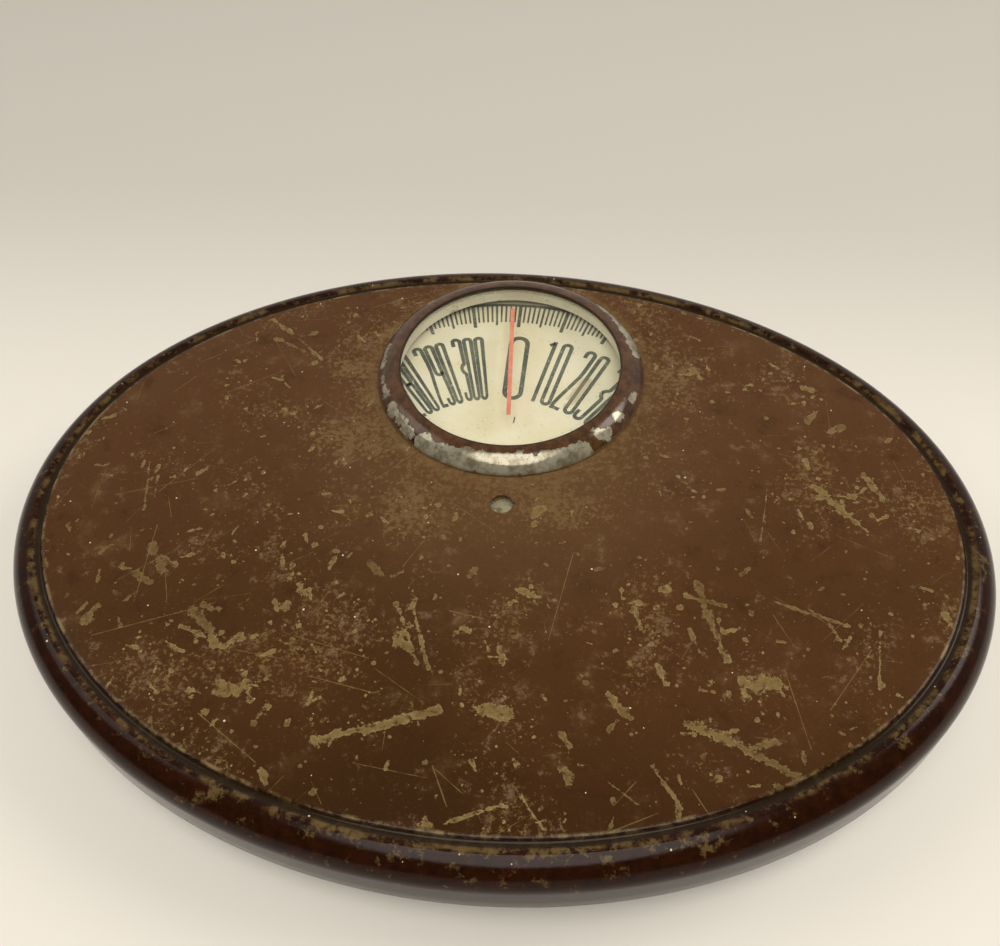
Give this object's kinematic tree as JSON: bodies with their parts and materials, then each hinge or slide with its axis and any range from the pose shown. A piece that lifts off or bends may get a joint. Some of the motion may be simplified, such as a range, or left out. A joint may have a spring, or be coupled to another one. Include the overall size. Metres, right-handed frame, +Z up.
{
  "type": "mechanical dial scale",
  "caption": "Oval mechanical personal scale with a worn brown steel platform, round window over a turning dial, lever mechanism, zero adjuster and rubber feet",
  "frame": {"origin": "on the floor, under the middle of the oval platform", "axes": "+X to the right of the person who stands on it, +Y away from them towards the window, +Z up"},
  "size_m": [0.356, 0.266, 0.051],
  "materials": {
    "brown_paint": "worn brown hammered paint on pressed steel, scratched through to olive primer",
    "dark_paint": "dark paint on pressed steel",
    "bezel_metal": "plated metal ring with flaked brown paint",
    "zinc_steel": "dull zinc plated steel",
    "spring_steel": "dark oiled steel",
    "brass": "plain brass",
    "dial_paint": "aged cream printed dial",
    "lens": "clear plastic lens",
    "red_pointer": "salmon red hair line",
    "rubber": "black rubber",
    "black_plastic": "black moulded plastic"
  },
  "bodies": {
    "base": {"base_pan": "dark_paint", "foot_front_left": "rubber", "foot_front_right": "rubber", "foot_rear_left": "rubber", "foot_rear_right": "rubber", "fulcrum_bracket_front_left": "zinc_steel", "fulcrum_bracket_front_right": "zinc_steel", "fulcrum_bracket_rear_left": "zinc_steel", "fulcrum_bracket_rear_right": "zinc_steel", "crank_bracket": "zinc_steel", "crank_pivot_pin": "zinc_steel", "movement_bridge": "zinc_steel", "upper_bush": "brass", "lower_bush": "brass", "rack_guide": "brass", "rack_spring_post": "zinc_steel", "anchor_guide": "zinc_steel", "main_spring": "spring_steel", "rack_spring": "spring_steel"},
    "platform": {"platform_cover": "brown_paint", "window_bezel": "bezel_metal", "window_lens": "lens", "lens_gasket": "rubber", "bezel_retainer": "zinc_steel", "pointer_line": "red_pointer", "platform_post_front_left": "zinc_steel", "platform_post_front_right": "zinc_steel", "platform_post_rear_left": "zinc_steel", "platform_post_rear_right": "zinc_steel"},
    "long_lever": {"long_lever": "zinc_steel", "front_fulcrum_pin_left": "spring_steel", "front_fulcrum_pin_right": "spring_steel", "front_load_pin_left": "spring_steel", "front_load_pin_right": "spring_steel"},
    "short_lever_left": {"short_lever_left": "zinc_steel", "rear_fulcrum_pin_left": "spring_steel", "rear_load_pin_left": "spring_steel"},
    "short_lever_right": {"short_lever_right": "zinc_steel", "rear_fulcrum_pin_right": "spring_steel", "rear_load_pin_right": "spring_steel"},
    "bell_crank": {"bell_crank": "zinc_steel"},
    "rack": {"rack_bar": "brass"},
    "dial": {"dial_disc": "dial_paint", "dial_hub": "brass", "dial_cap": "zinc_steel", "hub_nut": "brass", "dial_spindle": "spring_steel", "dial_pinion": "brass"},
    "zero_knob": {"zero_knob": "black_plastic", "zero_screw": "zinc_steel", "screw_clip": "spring_steel"},
    "spring_anchor": {"spring_anchor": "zinc_steel"}
  },
  "joints": [
    {"name": "dial_spin", "type": "hinge", "parent": "base", "child": "dial", "pos_m": [0, 0.008, 0.0375], "axis": [0, 0, 1], "range_deg": [0, 348.39], "stiffness_Nm_per_rad": 0.0531, "springref_deg": -5.73},
    {"name": "platform_press", "type": "slide", "parent": "base", "child": "platform", "axis": [0, 0, -1], "range_m": [0, 0.00133]},
    {"name": "long_lever_tilt", "type": "hinge", "parent": "base", "child": "long_lever", "pos_m": [0, -0.066, 0.018], "axis": [-1, 0, 0], "range_deg": [0, 3.32]},
    {"name": "short_lever_left_tilt", "type": "hinge", "parent": "base", "child": "short_lever_left", "pos_m": [-0.124, 0.066, 0.018], "axis": [1, 0, 0], "range_deg": [0, 3.32]},
    {"name": "short_lever_right_tilt", "type": "hinge", "parent": "base", "child": "short_lever_right", "pos_m": [0.124, 0.066, 0.018], "axis": [1, 0, 0], "range_deg": [0, 3.32]},
    {"name": "crank_tilt", "type": "hinge", "parent": "base", "child": "bell_crank", "pos_m": [0, 0.074, 0.015], "axis": [1, 0, 0], "range_deg": [0, 46.81], "deforming": ["main_spring"]},
    {"name": "rack_slide", "type": "slide", "parent": "base", "child": "rack", "axis": [0, -1, 0], "range_m": [0, 0.0146], "deforming": ["rack_spring"]},
    {"name": "zero_turn", "type": "hinge", "parent": "base", "child": "zero_knob", "pos_m": [0, 0.1285, 0.0142], "axis": [0, 1, 0], "range_deg": [-360, 360]},
    {"name": "zero_slide", "type": "slide", "parent": "base", "child": "spring_anchor", "axis": [0, 1, 0], "range_m": [-0.0007, 0.0007]}
  ],
  "couplings": [
    {"joint": "platform_press", "follows": "dial_spin", "m_per_rad": 0.00021873},
    {"joint": "long_lever_tilt", "follows": "dial_spin", "ratio": 0.0095101},
    {"joint": "short_lever_left_tilt", "follows": "dial_spin", "ratio": 0.0095101},
    {"joint": "short_lever_right_tilt", "follows": "dial_spin", "ratio": 0.0095101},
    {"joint": "crank_tilt", "follows": "dial_spin", "ratio": 0.13434},
    {"joint": "rack_slide", "follows": "dial_spin", "m_per_rad": 0.0024},
    {"joint": "zero_turn", "follows": "zero_slide", "rad_per_m": 8976}
  ]
}
